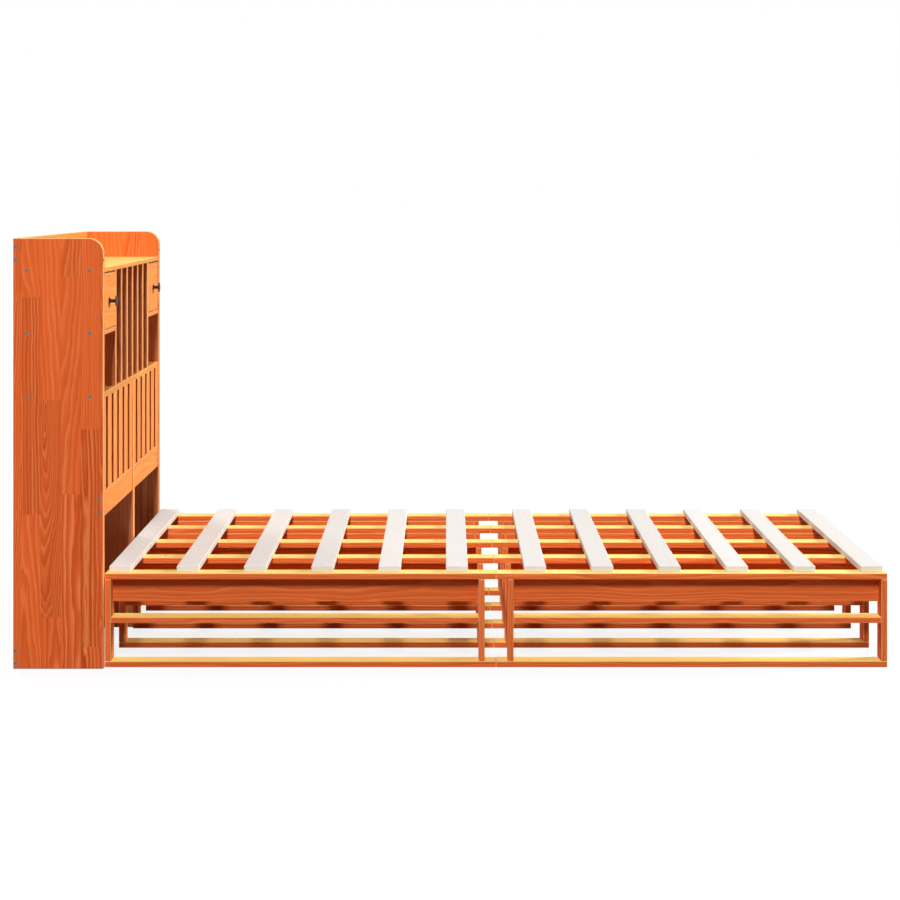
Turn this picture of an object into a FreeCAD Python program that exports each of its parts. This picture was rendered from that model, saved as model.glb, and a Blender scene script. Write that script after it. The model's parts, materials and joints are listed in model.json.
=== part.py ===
"""Bookcase headboard bed: a pine headboard with shelves and two drawers, and a low slatted base.

Sizes are in millimetres. +Z is up and +X runs along the bed, from the headboard to the foot end.
The origin is on the floor, at the centre of the footprint. Left is the -Y side and right is the
+Y side, as seen from the foot end. Every piece is one solid, except the groups of like pieces,
which are separate solids in one file.
"""

import FreeCAD
import Part
import math
import os

# ---------------------------------------------------------------- driving dimensions

# The whole bed
BED_WIDTH = 955.0               # over the headboard's side panels
BASE_LENGTH = 2057.0            # of the slatted base, in front of the headboard
HEAD_DEPTH = 237.0              # of the headboard, from its back to the side panels' front edges
HEAD_HEIGHT = 1128.0            # of the side panels

# Boards
PANEL_THICK = 16.0              # side panels, dividers, backrest, drawer fronts and mid shelf
SHELF_THICK = 12.0              # top shelf, drawer shelves and the two back boards
BACK_PANEL_THICK = 5.0          # thin panel behind the book shelf
EDGE_EASE = 1.5                 # chamfer on the boards' edges
FRONT_RECESS = 4.0              # of everything between the side panels, behind their front edges
CORNER_RADIUS = 40.0            # top front corner of a side panel

# The headboard's levels
TRAY_DEPTH = 79.0               # side panels and back board stand this far above the top shelf
BOOK_SECTION_HEIGHT = 316.0     # clear height between the mid shelf and the top shelf
DRAWER_BAY_HEIGHT = 153.0       # clear height between a drawer shelf and the top shelf
DRAWER_BAY_WIDTH = 186.0        # clear width between a side panel and an upper divider
PARTITION_COUNT = 5             # upright book partitions between the upper dividers
BACK_BOTTOM_HEIGHT = 62.0       # board along the floor at the back
BACKREST_LEVEL = 394.0          # underside of the backrest, above the open compartments
BACKREST_RAIL_HEIGHT = 67.0     # board along the backrest's lower edge
STILE_WIDTH = 42.5              # upright at each end of a backrest half
BAR_WIDTH = 50.0                # uprights between the stiles
BAR_COUNT = 4                   # in each half of the backrest

# Drawers
DRAWER_SIDE_CLEARANCE = 1.5     # between a drawer and its bay, on each side
DRAWER_RUN_CLEARANCE = 0.3      # between the drawer sides and the shelf that they slide on
DRAWER_FRONT_LIFT = 2.0         # gap below a drawer front
DRAWER_FRONT_DROP = 4.0         # gap above a drawer front
DRAWER_BACK_CLEARANCE = 8.0     # between a closed drawer and the back panel
DRAWER_WALL = 10.0              # thickness of the sides and back
DRAWER_WALL_HEIGHT = 120.0      # of the sides and back
DRAWER_BOTTOM_THICK = 4.0
DRAWER_BOTTOM_LIFT = 8.0        # of the bottom panel above the sides' lower edges
GROOVE_DEPTH = 4.0              # of the grooves that hold the bottom panel
GROOVE_CLEARANCE = 0.2          # between the bottom panel and its grooves
KNOB_LEVEL = 72.0               # knob's axis above the drawer front's lower edge
KNOB_RADIUS = 15.0
KNOB_PROJECTION = 21.0
KNOB_DOME_RISE = 3.4            # of the domed face over its edge
KNOB_RIM_THICK = 3.0
KNOB_RIM_EASE = 0.9             # chamfer on both edges of the rim
KNOB_FOOT_RADIUS = 8.5
KNOB_FOOT_THICK = 1.6
KNOB_WAIST_RADIUS = 4.6
KNOB_WAIST_SPAN = (4.0, 8.0)    # straight part of the waist, from the drawer front
KNOB_FLARE_RADIUS = 5.4         # the flare below the disc widens the waist by this much
KNOB_SCREW_RADIUS = 2.0
KNOB_SCREW_REACH = 8.0          # of the screw into the knob
KNOB_SCREW_HEAD_RADIUS = 4.0
KNOB_SCREW_HEAD_THICK = 2.4

# Screws and bolts
SCREW_HEAD_RADIUS = 4.8
SCREW_HEAD_THICK = 4.0
SCREW_INSET = 36.0              # of a shelf's screws from the side panel's front and back edges
SCREW_PITCH = 34.0              # between the two screws of an upright board's end
SOCKET_RADIUS = 2.3             # hexagon socket, over its corners
SOCKET_DEPTH = 2.0
HOLE_CLEARANCE = 0.15           # on the radius, round a screw or bolt
BOLT_RADIUS = 3.0
BOLT_HEAD_RADIUS = 6.0
BOLT_HEAD_THICK = 3.0
BOLT_REACH = 40.0               # of a connector bolt into the centre divider

# Slatted base
LATH_THICK = 16.0               # of the frames' rails, posts and aprons
LATH_WIDTH = 50.0               # of the rails and posts, across the bed
BASE_HEIGHT = 247.0             # top of the frames
BASE_SIDE_GAP = 0.5             # between an outer frame and the plane of a side panel's inner face
INNER_FRAME_OFFSET = 226.2      # from the centre frame to the frame on each side of it
MID_POST_INSET = 30.0           # of the middle posts from the joint between the two halves
MID_RAIL_LEVEL = 116.0          # underside of the middle rails
APRON_HEIGHT = 65.0
SLAT_WIDTH = 58.0
SLAT_THICK = 16.0
SLAT_COUNT_PER_HALF = 6
SLAT_END_INSET = 15.0           # of a slat's ends from the outer frames' outer faces
SLAT_FIRST_INSET = 9.0          # of the first slat from the end of a half
SLAT_LAST_INSET = 74.0          # of the last slat from the joint between the halves

# ---------------------------------------------------------------- places worked out from them

TOTAL_LENGTH = HEAD_DEPTH + BASE_LENGTH
BACK_X = -TOTAL_LENGTH / 2
PANEL_FRONT_X = BACK_X + HEAD_DEPTH
FRONT_X = PANEL_FRONT_X - FRONT_RECESS
FOOT_X = BACK_X + TOTAL_LENGTH
SIDE_Y = BED_WIDTH / 2
INNER_Y = SIDE_Y - PANEL_THICK

TOP_SHELF_TOP = HEAD_HEIGHT - TRAY_DEPTH
TOP_SHELF_UNDER = TOP_SHELF_TOP - SHELF_THICK
MID_SHELF_TOP = TOP_SHELF_UNDER - BOOK_SECTION_HEIGHT
MID_SHELF_UNDER = MID_SHELF_TOP - PANEL_THICK
DRAWER_SHELF_TOP = TOP_SHELF_UNDER - DRAWER_BAY_HEIGHT
DRAWER_SHELF_UNDER = DRAWER_SHELF_TOP - SHELF_THICK
BACKREST_RAIL_TOP = BACKREST_LEVEL + BACKREST_RAIL_HEIGHT

SHELF_BACK_X = BACK_X + BACK_PANEL_THICK
UPPER_DIVIDER_Y = INNER_Y - DRAWER_BAY_WIDTH
BACKREST_X = (FRONT_X - PANEL_THICK, FRONT_X)

RAIL_TOP_UNDER = BASE_HEIGHT - LATH_THICK
HALF_LENGTH = BASE_LENGTH / 2
BASE_SIDE_Y = INNER_Y - BASE_SIDE_GAP
SLAT_PITCH = (HALF_LENGTH - SLAT_FIRST_INSET - SLAT_LAST_INSET - SLAT_WIDTH) / (SLAT_COUNT_PER_HALF - 1)

X_AXIS = FreeCAD.Vector(1, 0, 0)
Y_AXIS = FreeCAD.Vector(0, 1, 0)
Z_AXIS = FreeCAD.Vector(0, 0, 1)
SIDES = {"left": -1, "right": 1}


# ---------------------------------------------------------------- shapes that repeat

def eased(solid, along=None):
    """Chamfer a board's edges: those that run along one axis, or all of them."""
    edges = solid.Edges
    if along is not None:
        edges = [edge for edge in edges if abs(edge.tangentAt(edge.FirstParameter).dot(along)) > 0.99]
    return solid.makeChamfer(EDGE_EASE, edges)


def block(x_span, y_span, z_span):
    """A sharp-edged box between three pairs of limits, each given in either order."""
    low = FreeCAD.Vector(min(x_span), min(y_span), min(z_span))
    high = FreeCAD.Vector(max(x_span), max(y_span), max(z_span))
    size = high - low
    return Part.makeBox(size.x, size.y, size.z, low)


def board(x_span, y_span, z_span, along=None):
    """A board with eased edges. Its ends stay square when its lengthwise axis is given."""
    return eased(block(x_span, y_span, z_span), along)


def mirrored(span, side):
    """A pair of Y limits, measured from the middle towards one side of the bed."""
    return (span[0] * side, span[1] * side)


def socket_head(face, direction, radius, thick):
    """The round head of a screw or bolt, with a hexagon socket sunk in its face."""
    head = Part.makeCylinder(radius, thick, face, direction)
    across = Z_AXIS * SOCKET_RADIUS
    turn = FreeCAD.Rotation(direction, 60)
    corners = [face + across]
    for _ in range(6):
        across = turn.multVec(across)
        corners.append(face + across)
    socket = Part.Face(Part.makePolygon(corners)).extrude(direction * SOCKET_DEPTH)
    return head.cut(socket).Solids[0]


# ---------------------------------------------------------------- screws through the side panels

def panel_screw_points():
    """Places of one side panel's screws, as (x, z): on the middle of each board they enter."""
    shelf_xs = (BACK_X + SCREW_INSET, PANEL_FRONT_X - SCREW_INSET)
    shelf_zs = (
        TOP_SHELF_TOP - SHELF_THICK / 2,
        DRAWER_SHELF_TOP - SHELF_THICK / 2,
        MID_SHELF_TOP - PANEL_THICK / 2,
    )
    points = [(x, z) for z in shelf_zs for x in shelf_xs]
    back_board_x = BACK_X + SHELF_THICK / 2
    upright_ends = (
        (back_board_x, TOP_SHELF_TOP + TRAY_DEPTH / 2),
        (FRONT_X - PANEL_THICK / 2, BACKREST_LEVEL + BACKREST_RAIL_HEIGHT / 2),
        (back_board_x, BACK_BOTTOM_HEIGHT / 2),
    )
    for x, middle_z in upright_ends:
        points.append((x, middle_z + SCREW_PITCH / 2))
        points.append((x, middle_z - SCREW_PITCH / 2))
    return points


def panel_screws(side):
    """The screw heads of one side panel, flush in its outer face. Their shanks aren't made."""
    return [
        socket_head(FreeCAD.Vector(x, SIDE_Y * side, z), Y_AXIS * -side, SCREW_HEAD_RADIUS, SCREW_HEAD_THICK)
        for x, z in panel_screw_points()
    ]


def screw_head_holes(side):
    """The flat-bottomed holes that the screw heads of one side panel sit in."""
    return [
        Part.makeCylinder(SCREW_HEAD_RADIUS + HOLE_CLEARANCE, SCREW_HEAD_THICK,
                          FreeCAD.Vector(x, SIDE_Y * side, z), Y_AXIS * -side)
        for x, z in panel_screw_points()
    ]


def drilled(shape, tools):
    """The shape with every hole that meets it cut out."""
    near = [tool for tool in tools if tool.BoundBox.intersect(shape.BoundBox)]
    return shape.cut(near).Solids[0] if near else shape


# ---------------------------------------------------------------- headboard

def side_panel(side):
    """A side panel: a tall board whose top front corner is a quarter round."""
    plain = block((BACK_X, PANEL_FRONT_X), mirrored((INNER_Y, SIDE_Y), side), (0, HEAD_HEIGHT))
    corner = [
        edge for edge in plain.Edges
        if edge.BoundBox.XMin > PANEL_FRONT_X - 1 and edge.BoundBox.ZMin > HEAD_HEIGHT - 1
    ]
    rounded = plain.makeFillet(CORNER_RADIUS, corner)
    return drilled(eased(rounded), screw_head_holes(side))


def centre_divider():
    """The divider under the mid shelf, notched over the back bottom board and bored for the bolts."""
    plain = board((BACK_X, PANEL_FRONT_X), (-PANEL_THICK / 2, PANEL_THICK / 2), (0, MID_SHELF_UNDER), Z_AXIS)
    notch = block((BACK_X, BACK_X + SHELF_THICK), (-PANEL_THICK, PANEL_THICK), (0, BACK_BOTTOM_HEIGHT))
    return drilled(plain.cut(notch), bolt_holes())


def full_shelf(top, thick):
    """A shelf between the side panels, over the headboard's whole depth."""
    return board((BACK_X, FRONT_X), (-INNER_Y, INNER_Y), (top - thick, top), Y_AXIS)


def drawer_shelf(side):
    """The short shelf that a drawer slides on, between a side panel and an upper divider."""
    return board((SHELF_BACK_X, FRONT_X), mirrored((UPPER_DIVIDER_Y, INNER_Y), side),
                 (DRAWER_SHELF_UNDER, DRAWER_SHELF_TOP), Y_AXIS)


def book_upright(centre_y):
    """An upright board of the book section, standing between the mid and top shelves."""
    return board((SHELF_BACK_X, FRONT_X), (centre_y - PANEL_THICK / 2, centre_y + PANEL_THICK / 2),
                 (MID_SHELF_TOP, TOP_SHELF_UNDER), Z_AXIS)


def upper_divider(side):
    """The upright beside a drawer bay."""
    return book_upright((UPPER_DIVIDER_Y - PANEL_THICK / 2) * side)


def book_partitions():
    """Uprights at equal steps between the two upper dividers."""
    outer = UPPER_DIVIDER_Y - PANEL_THICK / 2
    pitch = 2 * outer / (PARTITION_COUNT + 1)
    return [book_upright(-outer + pitch * (index + 1)) for index in range(PARTITION_COUNT)]


def back_board(z_span):
    """A board between the side panels, along the headboard's back."""
    return board((BACK_X, BACK_X + SHELF_THICK), (-INNER_Y, INNER_Y), z_span, Y_AXIS)


def back_panel():
    """The thin panel behind the book section and the drawers."""
    return block((BACK_X, SHELF_BACK_X), (-INNER_Y, INNER_Y), (MID_SHELF_TOP, TOP_SHELF_UNDER))


def backrest_rail(side):
    """The board along the lower edge of one half of the backrest."""
    return board(BACKREST_X, mirrored((PANEL_THICK / 2, INNER_Y), side),
                 (BACKREST_LEVEL, BACKREST_RAIL_TOP), Y_AXIS)


def backrest_bars(side):
    """The uprights of one half of the backrest: a stile at each end and bars at equal gaps."""
    inner_edge = PANEL_THICK / 2
    widths = [STILE_WIDTH] + [BAR_WIDTH] * BAR_COUNT + [STILE_WIDTH]
    gap = (INNER_Y - inner_edge - sum(widths)) / (len(widths) - 1)
    bars = []
    start = inner_edge
    for width in widths:
        bars.append(board(BACKREST_X, mirrored((start, start + width), side),
                          (BACKREST_RAIL_TOP, MID_SHELF_UNDER), Z_AXIS))
        start += width + gap
    return bars


# ---------------------------------------------------------------- drawers

DRAWER_OUTER_Y = INNER_Y - DRAWER_SIDE_CLEARANCE
DRAWER_INNER_Y = UPPER_DIVIDER_Y + DRAWER_SIDE_CLEARANCE
DRAWER_MIDDLE_Y = (DRAWER_OUTER_Y + DRAWER_INNER_Y) / 2
DRAWER_BACK_X = SHELF_BACK_X + DRAWER_BACK_CLEARANCE
DRAWER_FACE_X = FRONT_X - PANEL_THICK
DRAWER_WALL_Z = (DRAWER_SHELF_TOP + DRAWER_RUN_CLEARANCE,
                 DRAWER_SHELF_TOP + DRAWER_RUN_CLEARANCE + DRAWER_WALL_HEIGHT)
DRAWER_FRONT_Z = (DRAWER_SHELF_TOP + DRAWER_FRONT_LIFT, TOP_SHELF_UNDER - DRAWER_FRONT_DROP)
DRAWER_BOTTOM_Z = (DRAWER_WALL_Z[0] + DRAWER_BOTTOM_LIFT,
                   DRAWER_WALL_Z[0] + DRAWER_BOTTOM_LIFT + DRAWER_BOTTOM_THICK)
KNOB_Z = DRAWER_FRONT_Z[0] + KNOB_LEVEL


def drawer_bottom_plate(side, growth_edges, growth_thick):
    """The bottom panel's box, grown by a clearance when it is the tool that cuts the grooves."""
    reach = GROOVE_DEPTH - GROOVE_CLEARANCE + growth_edges
    x_span = (DRAWER_BACK_X + DRAWER_WALL - reach, DRAWER_FACE_X + reach)
    y_span = (DRAWER_INNER_Y + DRAWER_WALL - reach, DRAWER_OUTER_Y - DRAWER_WALL + reach)
    z_span = (DRAWER_BOTTOM_Z[0] - growth_thick, DRAWER_BOTTOM_Z[1] + growth_thick)
    return block(x_span, mirrored(y_span, side), z_span)


def knob(side):
    """A turned knob: a low foot, a narrow waist that flares into a thin disc, and a domed face."""
    disc_back = KNOB_PROJECTION - KNOB_DOME_RISE - KNOB_RIM_THICK
    disc_front = KNOB_PROJECTION - KNOB_DOME_RISE
    edge_radius = KNOB_RADIUS - KNOB_RIM_EASE
    flare_length = disc_back - KNOB_WAIST_SPAN[1]
    curve = (flare_length ** 2 + KNOB_FLARE_RADIUS ** 2) / (2 * KNOB_FLARE_RADIUS)
    half_turn = math.asin(flare_length / curve) / 2
    flare_middle = (KNOB_WAIST_SPAN[1] + curve * math.sin(half_turn),
                    KNOB_WAIST_RADIUS + curve * (1 - math.cos(half_turn)))
    flare_end = (disc_back, KNOB_WAIST_RADIUS + KNOB_FLARE_RADIUS)
    dome_radius = (edge_radius ** 2 + KNOB_DOME_RISE ** 2) / (2 * KNOB_DOME_RISE)
    dome_half_angle = math.asin(edge_radius / dome_radius) / 2
    dome_middle = (KNOB_PROJECTION - dome_radius * (1 - math.cos(dome_half_angle)),
                   dome_radius * math.sin(dome_half_angle))

    def point(along, radius):
        return FreeCAD.Vector(FRONT_X + along, DRAWER_MIDDLE_Y * side, KNOB_Z + radius)

    def line(start, end):
        return Part.makeLine(point(*start), point(*end))

    def arc(start, middle, end):
        return Part.Arc(point(*start), point(*middle), point(*end)).toShape()

    foot = (KNOB_FOOT_THICK, KNOB_FOOT_RADIUS)
    waist_start = (KNOB_WAIST_SPAN[0], KNOB_WAIST_RADIUS)
    waist_end = (KNOB_WAIST_SPAN[1], KNOB_WAIST_RADIUS)
    outline = Part.Wire([
        line((0, 0), (0, KNOB_FOOT_RADIUS)),
        line((0, KNOB_FOOT_RADIUS), foot),
        line(foot, waist_start),
        line(waist_start, waist_end),
        arc(waist_end, flare_middle, flare_end),
        line(flare_end, (disc_back, edge_radius)),
        line((disc_back, edge_radius), (disc_back + KNOB_RIM_EASE, KNOB_RADIUS)),
        line((disc_back + KNOB_RIM_EASE, KNOB_RADIUS), (disc_front - KNOB_RIM_EASE, KNOB_RADIUS)),
        line((disc_front - KNOB_RIM_EASE, KNOB_RADIUS), (disc_front, edge_radius)),
        arc((disc_front, edge_radius), dome_middle, (KNOB_PROJECTION, 0)),
        line((KNOB_PROJECTION, 0), (0, 0)),
    ])
    turned = Part.Face(outline).revolve(point(0, 0), X_AXIS, 360)
    bore = Part.makeCylinder(KNOB_SCREW_RADIUS + HOLE_CLEARANCE, KNOB_SCREW_REACH + HOLE_CLEARANCE,
                             point(0, 0), X_AXIS)
    return turned.cut(bore).Solids[0]


def drawer(side_name):
    """All the pieces of one drawer, by name."""
    side = SIDES[side_name]
    grooves = drawer_bottom_plate(side, GROOVE_CLEARANCE, GROOVE_CLEARANCE)
    y_span = mirrored((DRAWER_INNER_Y, DRAWER_OUTER_Y), side)
    wall_x = (DRAWER_BACK_X, DRAWER_FACE_X)

    front = board((DRAWER_FACE_X, FRONT_X), y_span, DRAWER_FRONT_Z).cut(grooves)
    axis_start = FreeCAD.Vector(DRAWER_FACE_X, DRAWER_MIDDLE_Y * side, KNOB_Z)
    front = front.cut(Part.makeCylinder(KNOB_SCREW_RADIUS + HOLE_CLEARANCE, PANEL_THICK, axis_start, X_AXIS))
    outer = board(wall_x, mirrored((DRAWER_OUTER_Y - DRAWER_WALL, DRAWER_OUTER_Y), side),
                  DRAWER_WALL_Z, X_AXIS).cut(grooves)
    inner = board(wall_x, mirrored((DRAWER_INNER_Y, DRAWER_INNER_Y + DRAWER_WALL), side),
                  DRAWER_WALL_Z, X_AXIS).cut(grooves)
    back = board((DRAWER_BACK_X, DRAWER_BACK_X + DRAWER_WALL),
                 mirrored((DRAWER_INNER_Y + DRAWER_WALL, DRAWER_OUTER_Y - DRAWER_WALL), side),
                 DRAWER_WALL_Z, Y_AXIS).cut(grooves)
    head_face = axis_start - X_AXIS * KNOB_SCREW_HEAD_THICK
    screw_length = KNOB_SCREW_HEAD_THICK + PANEL_THICK + KNOB_SCREW_REACH
    screw = Part.makeCylinder(KNOB_SCREW_HEAD_RADIUS, KNOB_SCREW_HEAD_THICK, head_face, X_AXIS)
    screw = screw.fuse(Part.makeCylinder(KNOB_SCREW_RADIUS, screw_length, head_face, X_AXIS))
    return {
        f"drawer_{side_name}_front": front,
        f"drawer_{side_name}_side_outer": outer,
        f"drawer_{side_name}_side_inner": inner,
        f"drawer_{side_name}_back": back,
        f"drawer_{side_name}_bottom": drawer_bottom_plate(side, 0, 0),
        f"drawer_{side_name}_knob": knob(side),
        f"drawer_{side_name}_knob_screw": screw.removeSplitter(),
    }


# ---------------------------------------------------------------- slatted base

POST_FACE_X = PANEL_FRONT_X + LATH_THICK      # inner face of the posts against the headboard
APRON_UNDER = RAIL_TOP_UNDER - APRON_HEIGHT
BOLT_LEVELS = (                               # midway in the two windows beside the centre post
    (LATH_THICK + MID_RAIL_LEVEL) / 2,
    (MID_RAIL_LEVEL + LATH_THICK + APRON_UNDER) / 2,
)


def connector_bolts():
    """Bolts from the centre frame's end post into the centre divider's front edge."""
    bolts = []
    for level in BOLT_LEVELS:
        face = FreeCAD.Vector(POST_FACE_X + BOLT_HEAD_THICK, 0, level)
        head = socket_head(face, -X_AXIS, BOLT_HEAD_RADIUS, BOLT_HEAD_THICK)
        shank = Part.makeCylinder(BOLT_RADIUS, LATH_THICK + BOLT_REACH,
                                  face - X_AXIS * BOLT_HEAD_THICK, -X_AXIS)
        bolts.append(head.fuse(shank).removeSplitter().Solids[0])
    return bolts


def bolt_holes():
    """The holes that the connector bolts need, in the end post and in the centre divider."""
    return [
        Part.makeCylinder(BOLT_RADIUS + HOLE_CLEARANCE, LATH_THICK + BOLT_REACH + HOLE_CLEARANCE,
                          FreeCAD.Vector(POST_FACE_X, 0, level), -X_AXIS)
        for level in BOLT_LEVELS
    ]


def half_span(span, half):
    """X limits measured from a half's outer end, for the headboard half or the foot half."""
    if half == "head":
        return (PANEL_FRONT_X + span[0], PANEL_FRONT_X + span[1])
    return (FOOT_X - span[1], FOOT_X - span[0])


def frame_middles():
    """Y of the middle of each lengthwise frame, from the left side of the bed to the right."""
    outer = BASE_SIDE_Y - LATH_WIDTH / 2
    return (-outer, -INNER_FRAME_OFFSET, 0.0, INNER_FRAME_OFFSET, outer)


def base_frame(middle_y):
    """Rails, posts and aprons of one lengthwise frame, each as a list of solids.

    The frame is two halves that butt at the middle of the bed. Rails and posts lie flat across
    the frame's width. The aprons stand on edge, flush with the frame's side that faces the middle
    of the bed, or with the right side of the centre frame.
    """
    y_span = (middle_y - LATH_WIDTH / 2, middle_y + LATH_WIDTH / 2)
    apron_side = -1 if middle_y > 0 else 1
    apron_edge = middle_y + apron_side * LATH_WIDTH / 2
    apron_y = (apron_edge - apron_side * LATH_THICK, apron_edge)
    mid_post_x = (HALF_LENGTH - MID_POST_INSET - LATH_THICK, HALF_LENGTH - MID_POST_INSET)
    clear_x = (LATH_THICK, mid_post_x[0])
    rails = []
    posts = []
    aprons = []
    for half in ("head", "foot"):
        full_x = half_span((0, HALF_LENGTH), half)
        rails.append(board(full_x, y_span, (RAIL_TOP_UNDER, BASE_HEIGHT)))
        rails.append(board(full_x, y_span, (0, LATH_THICK)))
        rails.append(board(half_span(clear_x, half), y_span,
                           (MID_RAIL_LEVEL, MID_RAIL_LEVEL + LATH_THICK), X_AXIS))
        for post_x in ((0, LATH_THICK), mid_post_x):
            posts.append(board(half_span(post_x, half), y_span, (LATH_THICK, RAIL_TOP_UNDER), Z_AXIS))
        aprons.append(board(half_span(clear_x, half), apron_y,
                            (APRON_UNDER, RAIL_TOP_UNDER), X_AXIS))
    if middle_y == 0:
        posts = [drilled(post, bolt_holes()) for post in posts]
    return {"rails": rails, "posts": posts, "aprons": aprons}


def slats():
    """The slats that lie across the frames, six on each half."""
    y_span = (-BASE_SIDE_Y + SLAT_END_INSET, BASE_SIDE_Y - SLAT_END_INSET)
    z_span = (BASE_HEIGHT, BASE_HEIGHT + SLAT_THICK)
    starts = [SLAT_FIRST_INSET + SLAT_PITCH * index for index in range(SLAT_COUNT_PER_HALF)]
    head_half = [half_span((start, start + SLAT_WIDTH), "head") for start in starts]
    foot_half = [half_span((start, start + SLAT_WIDTH), "foot") for start in reversed(starts)]
    return [board(x_span, y_span, z_span) for x_span in head_half + foot_half]


# ---------------------------------------------------------------- the whole bed

def all_nodes():
    """Every piece or group of like pieces, by name."""
    nodes = {
        "centre_divider": centre_divider(),
        "top_shelf": full_shelf(TOP_SHELF_TOP, SHELF_THICK),
        "mid_shelf": full_shelf(MID_SHELF_TOP, PANEL_THICK),
        "book_partitions": book_partitions(),
        "back_top_board": back_board((TOP_SHELF_TOP, HEAD_HEIGHT)),
        "back_bottom_board": back_board((0, BACK_BOTTOM_HEIGHT)),
        "back_panel": back_panel(),
        "panel_screws": panel_screws(-1) + panel_screws(1),
        "connector_bolts": connector_bolts(),
    }
    for side_name, side in SIDES.items():
        nodes[f"side_panel_{side_name}"] = side_panel(side)
        nodes[f"drawer_shelf_{side_name}"] = drawer_shelf(side)
        nodes[f"upper_divider_{side_name}"] = upper_divider(side)
        nodes[f"backrest_rail_{side_name}"] = backrest_rail(side)
        nodes[f"backrest_bars_{side_name}"] = backrest_bars(side)
        nodes.update(drawer(side_name))
    for number, middle_y in enumerate(frame_middles(), start=1):
        for kind, solids in base_frame(middle_y).items():
            nodes[f"frame_{number}_{kind}"] = solids
    for number, slat in enumerate(slats(), start=1):
        nodes[f"slat_{number:02d}"] = slat
    return nodes


def main():
    """Write one file per node and print the model's box and facet count."""
    os.makedirs("parts", exist_ok=True)
    facets = 0
    box = FreeCAD.BoundBox()
    nodes = all_nodes()
    for name, shape in nodes.items():
        if isinstance(shape, list):
            shape = Part.makeCompound(shape)
        if not shape.isValid():
            raise ValueError(f"{name} is not a valid solid")
        shape.exportStep(f"parts/{name}.step")
        box.add(shape.BoundBox)
        facets += len(shape.tessellate(0.1)[1])
    print(f"{len(nodes)} nodes, {facets} facets, {box}")


main()
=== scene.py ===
"""Looks of a bookcase headboard bed: stained pine boards, pale slats, turned knobs, steel screws.

Each board is a rounded solid worked out from the box of the node that it stands for. Lengths are in
metres. +X runs from the headboard to the foot end, +Z is up, and the floor is at z = 0.
"""

import json
import logging
import math
import zlib
from dataclasses import dataclass, replace
from enum import Enum
from typing import Union

import bpy
import numpy as np
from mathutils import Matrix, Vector

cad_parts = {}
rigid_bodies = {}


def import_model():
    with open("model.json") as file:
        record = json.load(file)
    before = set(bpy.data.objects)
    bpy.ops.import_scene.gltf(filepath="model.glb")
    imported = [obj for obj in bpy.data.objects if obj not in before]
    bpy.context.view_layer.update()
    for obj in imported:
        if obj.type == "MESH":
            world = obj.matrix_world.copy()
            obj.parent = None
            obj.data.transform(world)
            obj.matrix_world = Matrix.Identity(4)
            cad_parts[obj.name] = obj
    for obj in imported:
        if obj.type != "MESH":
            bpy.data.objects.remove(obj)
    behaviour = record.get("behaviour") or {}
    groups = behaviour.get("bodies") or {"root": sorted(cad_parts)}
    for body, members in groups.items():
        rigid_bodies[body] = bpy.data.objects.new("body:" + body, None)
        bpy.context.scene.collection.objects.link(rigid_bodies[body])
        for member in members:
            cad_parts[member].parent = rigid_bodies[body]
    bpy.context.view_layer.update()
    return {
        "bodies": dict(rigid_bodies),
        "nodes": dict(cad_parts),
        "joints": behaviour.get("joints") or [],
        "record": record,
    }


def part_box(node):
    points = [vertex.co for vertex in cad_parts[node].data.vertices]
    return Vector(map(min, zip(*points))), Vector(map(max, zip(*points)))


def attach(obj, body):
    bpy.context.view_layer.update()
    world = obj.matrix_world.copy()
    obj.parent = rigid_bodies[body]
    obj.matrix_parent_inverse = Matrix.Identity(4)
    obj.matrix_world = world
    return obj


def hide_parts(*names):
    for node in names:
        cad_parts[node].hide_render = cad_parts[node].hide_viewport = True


log = logging.getLogger("bed")

BED_BODY = "bed"
SIDE_NAMES = ("left", "right")
EDGE_RADIUS = 0.0021
WHITE = (1.0, 1.0, 1.0, 1.0)

Colour = tuple[float, float, float]
Point = tuple[float, float, float]
Span = tuple[float, float]
Box = tuple[Point, Point]
Value = Union[float, "Signal"]


class Run(Enum):
    """The axis that a board's length, and so its grain, runs along."""

    ALONG_BED = 0
    ACROSS_BED = 1
    UPRIGHT = 2


@dataclass(frozen=True)
class Cut:
    """How a board lies.

    run is the axis that its grain follows, wide is the axis of its width, and staved says whether
    it is glued up from staves.
    """

    run: Run
    wide: int
    staved: bool = False

    @property
    def thin(self) -> int:
        """The axis of its thickness, because the three axes' numbers add up to 3."""
        return 3 - self.run.value - self.wide

    @property
    def label(self) -> str:
        """A short name for material names."""
        return f"{self.run.name.lower()}_{'xyz'[self.wide]}{'_staved' if self.staved else ''}"


class Slot(Enum):
    """The record's material slots."""

    STAINED_PINE = "pine_orange"
    PALE_PINE = "pine_pale"
    KNOB = "knob_metal"
    STEEL = "screw_steel"


# ---------------------------------------------------------------- shader arithmetic

# A colour mix's sockets by number, because the Mix node gives its other modes the same names.
MIX_FACTOR, MIX_FIRST, MIX_SECOND, MIX_RESULT = 0, 6, 7, 2


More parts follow.
